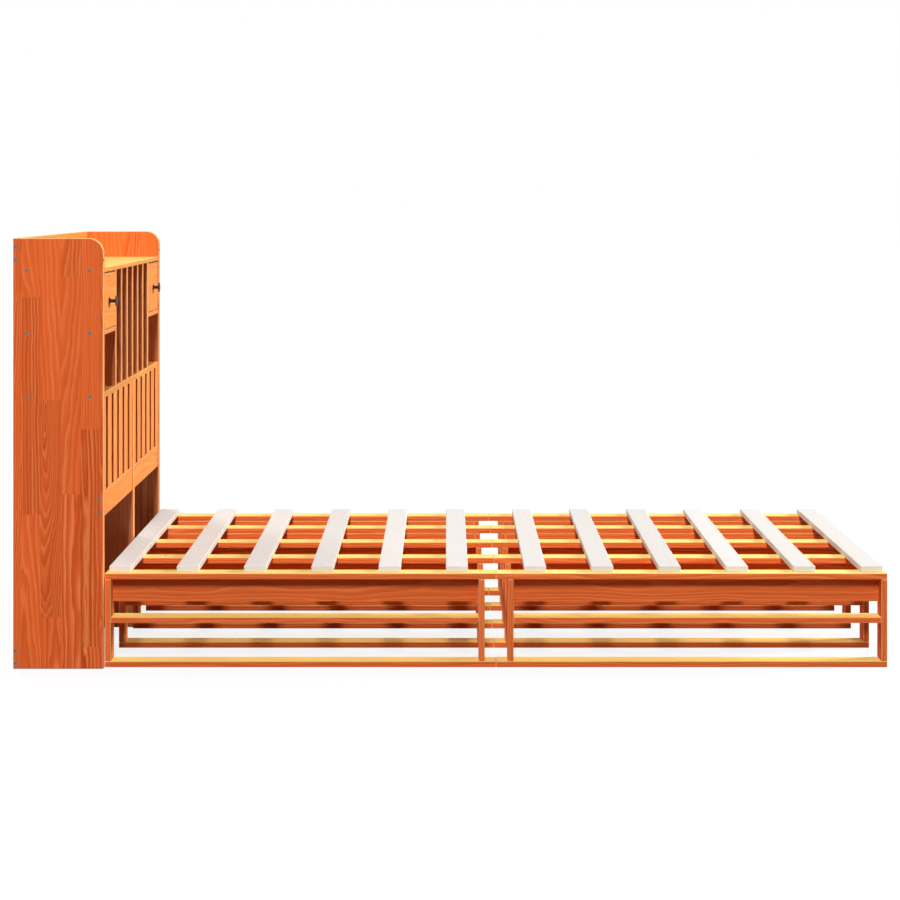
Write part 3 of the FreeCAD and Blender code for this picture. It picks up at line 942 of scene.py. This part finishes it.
def revolved(name: str, start: np.ndarray, outline: np.ndarray,
             segments: int = 64) -> bpy.types.Object:
    """A turned shape whose axis runs along +X.

    Each point of the outline goes round the axis: its radius times the cosine and sine of the turn
    give y and z. The first and last points lie on the axis, and each is one vertex.

    Args:
        name: The object's name.
        start: The place of the outline's zero on the axis.
        outline: Rows of distance along the axis and radius, from one end of the axis to the other.
        segments: Steps in a whole turn.

    Returns:
        The object.
    """
    turn = np.arange(segments) * 2 * math.pi / segments
    body = outline[1:-1]
    rings = np.empty((len(body), segments, 3))
    rings[..., 0] = body[:, 0, None]
    rings[..., 1] = body[:, 1, None] * np.cos(turn)
    rings[..., 2] = body[:, 1, None] * np.sin(turn)
    poles = np.array([[outline[0, 0], 0, 0], [outline[-1, 0], 0, 0]])
    vertices = np.concatenate([rings.reshape(-1, 3), poles]) + start

    index = np.arange(segments)
    following = (index + 1) % segments
    starts = segments * np.arange(len(body) - 1)[:, None]
    quads = np.stack([starts + following, starts + index, starts + segments + index,
                      starts + segments + following], axis=-1).reshape(-1, 4)
    last = segments * (len(body) - 1)
    near_pole, far_pole = len(body) * segments, len(body) * segments + 1
    fans = np.concatenate([
        np.stack([index, following, np.full(segments, near_pole)], axis=1),
        np.stack([last + following, last + index, np.full(segments, far_pole)], axis=1),
    ])
    mesh = bpy.data.meshes.new(name)
    mesh.from_pydata(vertices.tolist(), [], quads.tolist() + fans.tolist())
    mesh.polygons.foreach_set("use_smooth", np.ones(len(mesh.polygons), bool))
    mesh.update()
    piece = bpy.data.objects.new(name, mesh)
    bpy.context.scene.collection.objects.link(piece)
    return piece


# ---------------------------------------------------------------- the workshop

class Workshop:
    """Makes pieces and dresses them, and holds the materials that are made once."""

    def __init__(self, frame: dict) -> None:
        """Keep the frame that the pieces are worked out from.

        Args:
            frame: The loaded frame, with its construction nodes.
        """
        self.frame = frame
        self.pine: dict[tuple[str, Cut], bpy.types.Material] = {}
        self.metal: dict[str, bpy.types.Material] = {}

    def pine_material(self, finish: PineFinish, cut: Cut) -> bpy.types.Material:
        """A pine finish for one way that boards lie, made at its first use.

        Args:
            finish: The finish.
            cut: How the boards lie.

        Returns:
            The material.
        """
        key = (finish.name, cut)
        if key not in self.pine:
            self.pine[key] = finish.material(cut)
        return self.pine[key]

    def metal_material(self, finish: MetalFinish) -> bpy.types.Material:
        """A metal finish, made at its first use.

        Args:
            finish: The finish.

        Returns:
            The material.
        """
        if finish.name not in self.metal:
            self.metal[finish.name] = finish.material()
        return self.metal[finish.name]

    def put(self, piece: bpy.types.Object, material: bpy.types.Material, body: str, slot: Slot,
            *nodes: str) -> None:
        """Dress a new piece, let it ride on a body and let it stand for its nodes.

        Args:
            piece: The piece.
            material: Its finish.
            body: The body that it moves with.
            slot: The record's slot for its material. Not used.
            nodes: The construction nodes that it stands for.
        """
        piece.data.materials.append(material)
        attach(piece, body)
        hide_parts(*nodes)
        log.info("%s rides on %s", piece.name, body)

    def boards(self, node: str, run: Run, boxes: list[Box] | None = None,
               finish: PineFinish = STAINED, body: str = BED_BODY,
               edge_radius: float = EDGE_RADIUS) -> None:
        """Replace a node by rounded boards.

        Args:
            node: The construction node.
            run: The axis that the boards run along.
            boxes: A (low, high) pair per board, or nothing for one board as large as the node.
            finish: The pine finish.
            body: The body that it moves with.
            edge_radius: Radius of the boards' edges.
        """
        pairs = boxes or [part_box(node)]
        low = np.array([pair[0] for pair in pairs], float)
        high = np.array([pair[1] for pair in pairs], float)
        boards = Boards(low, high, run, edge_radius=edge_radius)
        piece = boards.piece(f"{node}_boards", node)
        self.put(piece, self.pine_material(finish, boards.cut), body, finish.slot, node)

    def dress(self, node: str, material: bpy.types.Material) -> None:
        """Give a construction node that stays a finished material.

        Args:
            node: The construction node.
            material: Its finish.
        """
        for slot in self.frame["nodes"][node].material_slots:
            slot.material = material
        log.info("%s keeps its own shape", node)


# ---------------------------------------------------------------- sub-assemblies

@dataclass
class Headboard:
    """Side panels, shelves, dividers, book partitions, back boards and the barred backrest.

    panel_grain moves the side panels' pattern across and along them.
    """

    partition_thick: float = 0.016
    partition_count: int = 5
    stile_width: float = 0.0425
    bar_width: float = 0.050
    bar_count: int = 4
    panel_grain: Span = (5.91, 2.35)
    divider_grain: Point = (2.1, 0.0, 1.3)
    back_edge_radius: float = 0.0004

    def build(self, shop: Workshop) -> None:
        """Make every board of the headboard.

        Args:
            shop: The workshop that makes them.
        """
        for node in ("top_shelf", "back_top_board", "back_bottom_board"):
            shop.boards(node, Run.ACROSS_BED)
        shop.boards("mid_shelf", Run.ACROSS_BED, finish=STAINED_INNER_PAINTED_SHADE)
        shop.boards("back_panel", Run.ACROSS_BED, finish=STAINED_BACK_PAINTED_SHADE,
                    edge_radius=self.back_edge_radius)
        shop.boards("book_partitions", Run.UPRIGHT, self.partitions(), STAINED_INNER_PAINTED_SHADE)
        panel_cut = Cut(Run.UPRIGHT, wide=0, staved=True)
        for side in SIDE_NAMES:
            shop.boards(f"drawer_shelf_{side}", Run.ACROSS_BED, finish=STAINED_INNER_PAINTED_SHADE)
            shop.boards(f"upper_divider_{side}", Run.UPRIGHT, finish=STAINED_INNER_PAINTED_SHADE)
            shop.boards(f"backrest_rail_{side}", Run.ACROSS_BED)
            shop.boards(f"backrest_bars_{side}", Run.UPRIGHT, self.bars(side))
            low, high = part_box(f"side_panel_{side}")
            shift = (self.panel_grain[0], -(low[1] + high[1]) / 2, self.panel_grain[1])
            # Faces towards the shelves get painted shade below the top shelf.
            inside = -1.0 if low[1] > 0 else 1.0
            shop.dress(f"side_panel_{side}", STAINED.material(panel_cut, shift, inside))
        shop.dress("centre_divider", STAINED_INNER_PAINTED_SHADE.material(panel_cut, self.divider_grain))

    def partitions(self) -> list[Box]:
        """Boxes of the book partitions: equal steps across their node."""
        widths = [self.partition_thick] * self.partition_count
        return self.uprights("book_partitions", widths)

    def bars(self, side: str) -> list[Box]:
        """Boxes of one half's backrest uprights: a stile at each end and bars between them."""
        widths = [self.stile_width] + [self.bar_width] * self.bar_count + [self.stile_width]
        return self.uprights(f"backrest_bars_{side}", widths)

    def uprights(self, node: str, widths: list[float]) -> list[Box]:
        """Boxes of boards that stand across a node with equal gaps.

        Args:
            node: The construction node.
            widths: Each board's width, from the left side to the right.

        Returns:
            (low, high) pairs.
        """
        low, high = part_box(node)
        gap = (high[1] - low[1] - sum(widths)) / (len(widths) - 1)
        pairs = []
        start = low[1]
        for width in widths:
            pairs.append(((low[0], start, low[2]), (high[0], start + width, high[2])))
            start += width + gap
        return pairs


@dataclass
class Drawer:
    """A drawer box with its front and its turned knob.

    foot_straight, waist_place and flare_share are shares of the foot's thickness, of the length
    behind the disc and of the disc's radius.
    """

    side: str
    bottom_edge_radius: float = 0.0003
    foot_radius: float = 0.0085
    foot_thick: float = 0.0016
    foot_straight: float = 0.7
    foot_round: float = 0.0005
    shoulder: float = 0.0022
    waist_radius: float = 0.0046
    waist_place: float = 0.5
    flare_share: float = 0.55
    rim_thick: float = 0.0018
    dome_rise: float = 0.0016
    points_per_curve: int = 14

    def build(self, shop: Workshop) -> None:
        """Make the drawer's boards and its knob, and dress its screw.

        Args:
            shop: The workshop that makes them.
        """
        prefix = f"drawer_{self.side}"
        shop.boards(f"{prefix}_front", Run.ACROSS_BED, body=prefix)
        shop.boards(f"{prefix}_side_outer", Run.ALONG_BED, body=prefix)
        shop.boards(f"{prefix}_side_inner", Run.ALONG_BED, body=prefix)
        shop.boards(f"{prefix}_back", Run.ACROSS_BED, body=prefix)
        shop.boards(f"{prefix}_bottom", Run.ACROSS_BED, body=prefix,
                    edge_radius=self.bottom_edge_radius)
        node = f"{prefix}_knob"
        low, high = (np.array(corner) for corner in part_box(node))
        start = np.array([low[0], (low[1] + high[1]) / 2, (low[2] + high[2]) / 2])
        outline = self.knob_outline(high[0] - low[0], (high[1] - low[1]) / 2)
        piece = revolved(f"{node}_turned", start, outline)
        shop.put(piece, shop.metal_material(KNOB), prefix, Slot.KNOB, node)
        shop.dress(f"{prefix}_knob_screw", shop.metal_material(STEEL))

    def knob_outline(self, projection: float, radius: float) -> np.ndarray:
        """The knob's half section, from the drawer front to the middle of its face.

        A short foot rounds over and falls to the waist as a quarter ellipse, a second quarter
        ellipse flares out to the disc, the rim is a half circle, and the face is a flat dome.

        Args:
            projection: How far the knob stands out.
            radius: The disc's radius.

        Returns:
            Rows of distance from the drawer front and radius.
        """
        turn = np.linspace(0, math.pi / 2, self.points_per_curve)
        rim = self.rim_thick / 2
        disc_back = projection - self.dome_rise - self.rim_thick
        waist = disc_back * self.waist_place
        drop = self.foot_radius - self.shoulder - self.waist_radius
        rise = radius * self.flare_share - self.waist_radius

        def curve(along: np.ndarray, out: np.ndarray) -> np.ndarray:
            """Rows of distance and radius."""
            return np.stack([along, out], axis=1)

        foot = np.array([
            (0.0, 0.0),
            (0.0, self.foot_radius),
            (self.foot_thick * self.foot_straight, self.foot_radius),
            (self.foot_thick, self.foot_radius - self.foot_round),
        ])
        fall = curve(waist - (waist - self.foot_thick) * np.cos(turn),
                     self.waist_radius + drop * (1 - np.sin(turn)))
        flare = curve(waist + (disc_back - waist) * np.sin(turn),
                      self.waist_radius + rise * (1 - np.cos(turn)))
        edge = np.linspace(-math.pi / 2, math.pi / 2, self.points_per_curve)
        bead = curve(disc_back + rim + rim * np.sin(edge), radius - rim + rim * np.cos(edge))
        back = turn[::-1]
        dome = curve(projection - self.dome_rise * (1 - np.cos(back)),
                     (radius - rim) * np.sin(back))
        return np.concatenate([foot, fall, flare, bead, dome[1:-1], [[projection, 0.0]]])


@dataclass
class BaseFrames:
    """The five lengthwise frames under the slats, each of two halves that butt in the middle."""

    count: int = 5
    lath_thick: float = 0.016
    mid_rail_level: float = 0.116
    mid_post_inset: float = 0.030

    def build(self, shop: Workshop) -> None:
        """Make the rails, posts and aprons of every frame.

        Args:
            shop: The workshop that makes them.
        """
        for number in range(1, self.count + 1):
            rails = f"frame_{number}_rails"
            posts = f"frame_{number}_posts"
            aprons = f"frame_{number}_aprons"
            post_boxes = self.split(posts, self.post_spans(posts))
            apron_boxes = self.split(aprons, self.clear_spans(aprons, 0.0))
            shop.boards(rails, Run.ALONG_BED, self.rails(rails), STAINED_BASE)
            shop.boards(posts, Run.UPRIGHT, post_boxes, STAINED_BASE)
            shop.boards(aprons, Run.ALONG_BED, apron_boxes, STAINED_BASE)

    def split(self, node: str, x_spans: list[Span], z_span: Span | None = None) -> list[Box]:
        """Boxes that share a node's section, one per pair of X limits.

        Args:
            node: The construction node.
            x_spans: Pairs of X limits.
            z_span: Z limits, or nothing for the node's own.

        Returns:
            (low, high) pairs.
        """
        low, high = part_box(node)
        bottom, top = z_span or (low[2], high[2])
        return [((start, low[1], bottom), (end, high[1], top)) for start, end in x_spans]

    def post_spans(self, node: str) -> list[Span]:
        """X limits of the four posts: one at each end and one each side of the joint.

        Args:
            node: The frame's node of posts.

        Returns:
            A pair of limits per post.
        """
        low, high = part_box(node)
        joint = (low[0] + high[0]) / 2
        inner = self.mid_post_inset
        outer = inner + self.lath_thick
        return [
            (low[0], low[0] + self.lath_thick),
            (joint - outer, joint - inner),
            (joint + inner, joint + outer),
            (high[0] - self.lath_thick, high[0]),
        ]

    def clear_spans(self, node: str, end_inset: float) -> list[Span]:
        """X limits of the clear space between the posts of each half.

        Args:
            node: A node of the frame.
            end_inset: How far the end posts reach in from the node's own ends.

        Returns:
            A pair of limits per half.
        """
        low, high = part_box(node)
        joint = (low[0] + high[0]) / 2
        middle = self.mid_post_inset + self.lath_thick
        return [(low[0] + end_inset, joint - middle), (joint + middle, high[0] - end_inset)]

    def rails(self, node: str) -> list[Box]:
        """Boxes of a frame's top, bottom and middle rails.

        Args:
            node: The frame's node of rails.

        Returns:
            (low, high) pairs.
        """
        low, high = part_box(node)
        joint = (low[0] + high[0]) / 2
        halves = [(low[0], joint), (joint, high[0])]
        top = self.split(node, halves, (high[2] - self.lath_thick, high[2]))
        bottom = self.split(node, halves, (low[2], low[2] + self.lath_thick))
        level = self.mid_rail_level
        clear = self.clear_spans(node, self.lath_thick)
        middle = self.split(node, clear, (level, level + self.lath_thick))
        return top + bottom + middle


@dataclass
class Slats:
    """The pale slats across the frames."""

    count: int = 12

    def build(self, shop: Workshop) -> None:
        """Make every slat."""
        for number in range(1, self.count + 1):
            shop.boards(f"slat_{number:02d}", Run.ACROSS_BED, finish=PALE)


@dataclass
class Fasteners:
    """Screw heads in the side panels and the hidden connector bolts, which keep their CAD shape."""

    nodes: tuple[str, ...] = ("panel_screws", "connector_bolts")

    def build(self, shop: Workshop) -> None:
        """Dress the fasteners."""
        for node in self.nodes:
            shop.dress(node, shop.metal_material(STEEL))


# ---------------------------------------------------------------- studio

@dataclass(frozen=True)
class Lamp:
    """A soft rectangular light that faces a point, with its width level and its power in watts."""

    name: str
    place: Point
    target: Point
    size: Span
    power: float

    def build(self) -> None:
        """Make the light."""
        light = bpy.data.lights.new(self.name, "AREA")
        light.shape = "RECTANGLE"
        light.size, light.size_y = self.size
        light.energy = self.power
        lamp = bpy.data.objects.new(self.name, light)
        bpy.context.scene.collection.objects.link(lamp)
        lamp.location = self.place
        away = Vector(self.place) - Vector(self.target)
        lamp.rotation_euler = away.to_track_quat("Z", "Y").to_euler()


@dataclass
class Studio:
    """Floor, soft lights and the camera.

    floor_bounce is the floor's colour for the light that it throws back onto the bed. glow_share
    is how much of the floor's look is its own glow, near the bed and beyond glow_reach.
    """

    floor_size: float = 80.0
    floor_albedo: float = 0.80
    floor_bounce: float = 0.12
    speckle_scale: float = 3.0
    speckle_shade: float = 0.9
    speckle_strength: float = 0.05
    glow_share: Span = (0.80, 1.0)
    glow_reach: Span = (1.6, 4.5)
    floor_glow: float = 1.05
    sky_fill: float = 0.085
    lamps: tuple[Lamp, ...] = (
        Lamp("front", (-0.6, -12.0, 9.5), (-0.1, 0.0, 0.2), (1.5, 3.2), 1400.0),
        Lamp("high_front", (-0.35, -6.5, 12.5), (-0.1, 0.0, 0.2), (1.2, 1.6), 480.0),
        Lamp("foot_end", (6.2, 0.7, 2.7), (-0.4, 0.1, 0.4), (1.0, 1.6), 470.0),
        Lamp("behind", (-3.6, 3.6, 4.6), (-0.4, 0.1, 0.5), (1.4, 1.4), 150.0),
    )
    camera_place: Point = (-0.0119, -5.3205, 1.2385)
    lens: float = 73.98
    sensor: float = 36.0
    shift: Span = (0.0039, -0.2822)
    clip: Span = (0.05, 200.0)

    def build(self) -> None:
        """Make the floor, the lights and the camera."""
        self.floor()
        self.world()
        for lamp in self.lamps:
            lamp.build()
        self.camera()

    def floor(self) -> None:
        """A plain pale floor that keeps shadows and looks white from the camera."""
        half = self.floor_size / 2
        corners = [(-half, -half, 0.0), (half, -half, 0.0), (half, half, 0.0), (-half, half, 0.0)]
        mesh = bpy.data.meshes.new("floor")
        mesh.from_pydata(corners, [], [(0, 1, 2, 3)])
        floor = bpy.data.objects.new("floor", mesh)
        bpy.context.scene.collection.objects.link(floor)

        shader = Shader.of_material("floor_white")
        place = shader.node("ShaderNodeTexCoord", output="Object")
        speckle = shader.noise(shader.vector("MULTIPLY", place, (self.speckle_scale,) * 3))
        seen = self.seen_ray(shader)
        shade = self.speckle_shade * self.floor_albedo
        pale = shader.mix(speckle * self.speckle_strength, (self.floor_albedo,) * 3, (shade,) * 3)
        colour = shader.mix(seen, (self.floor_bounce,) * 3, pale)
        paint = shader.node("ShaderNodeBsdfDiffuse", None, {"Color": colour})
        glow = shader.node("ShaderNodeEmission", None,
                           {"Color": WHITE, "Strength": self.floor_glow})
        distance = shader.node("ShaderNodeVectorMath", {"operation": "LENGTH"}, {0: place},
                               output="Value")
        share = seen * distance.step(*self.glow_reach).spread(*self.glow_share)
        shader.close(shader.node("ShaderNodeMixShader", None, {0: share, 1: paint, 2: glow}))
        floor.data.materials.append(shader.owner)

    def seen_ray(self, shader: Shader) -> Signal:
        """Tell the rays that show the floor and the backdrop from those that light the bed.

        Args:
            shader: The material or the world.

        Returns:
            1 for a ray that is seen directly, in a reflection or through glass.
        """
        camera = shader.node("ShaderNodeLightPath", output="Is Camera Ray")
        reflected, through = camera.also("Is Glossy Ray"), camera.also("Is Transmission Ray")
        return camera.greater(reflected.greater(through))

    def world(self) -> None:
        """A white backdrop to the eye, and an even dim light on the object."""
        world = bpy.data.worlds.new("studio")
        bpy.context.scene.world = world
        shader = Shader(world, "ShaderNodeOutputWorld")
        seen = self.seen_ray(shader)
        fill = shader.node("ShaderNodeBackground", None,
                           {"Color": WHITE, "Strength": self.sky_fill})
        white = shader.node("ShaderNodeBackground", None, {"Color": WHITE, "Strength": 1.0})
        shader.close(shader.node("ShaderNodeMixShader", None, {0: seen, 1: fill, 2: white}))

    def camera(self) -> None:
        """The photograph's view: level, square to the bed's side, with its frame shifted down."""
        data = bpy.data.cameras.new("view")
        data.lens = self.lens
        data.sensor_width = self.sensor
        data.sensor_fit = "HORIZONTAL"
        data.shift_x, data.shift_y = self.shift
        data.clip_start, data.clip_end = self.clip
        camera = bpy.data.objects.new("view", data)
        bpy.context.scene.collection.objects.link(camera)
        camera.location = self.camera_place
        camera.rotation_euler = (math.pi / 2, 0.0, 0.0)
        bpy.context.scene.camera = camera


def main() -> None:
    """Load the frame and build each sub-assembly in order."""
    logging.basicConfig(level=logging.INFO, format="%(name)s: %(message)s")
    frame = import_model()
    bpy.context.scene.view_settings.view_transform = "Standard"

    shop = Workshop(frame)
    Headboard().build(shop)
    for side in SIDE_NAMES:
        Drawer(side).build(shop)
    BaseFrames().build(shop)
    Slats().build(shop)
    Fasteners().build(shop)
    Studio().build()

    bpy.context.view_layer.update()


if __name__ == "__main__":
    main()
